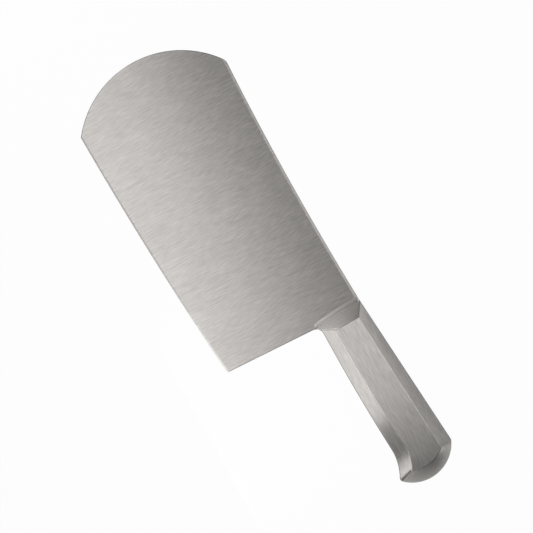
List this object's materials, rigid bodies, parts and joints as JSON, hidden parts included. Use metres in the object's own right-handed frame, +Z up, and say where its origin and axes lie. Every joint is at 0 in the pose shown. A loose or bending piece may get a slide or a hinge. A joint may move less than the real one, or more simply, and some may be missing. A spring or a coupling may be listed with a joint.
{
  "type": "chinese cleaver",
  "caption": "All-steel Chinese cleaver: broad thin blade with a round nose, and a hollow faceted handle with a hooked end, for slicing and chopping.",
  "frame": {"origin": "on the surface that the knife lies on, under the middle of its outline", "axes": "+X from the nose to the butt of the handle, +Y from the cutting edge to the spine, +Z up out of the blade's left face"},
  "size_m": [0.33, 0.1148, 0.019],
  "materials": {
    "blade_steel": "ground across the blade, satin",
    "handle_steel": "brushed along the handle, satin",
    "weld_steel": "ground flush and blended"
  },
  "bodies": {
    "root": {"blade": "blade_steel", "handle_shell_left": "handle_steel", "handle_shell_right": "handle_steel", "seam_weld": "weld_steel", "bolster_weld_left": "weld_steel", "bolster_weld_right": "weld_steel"}
  },
  "joints": []
}
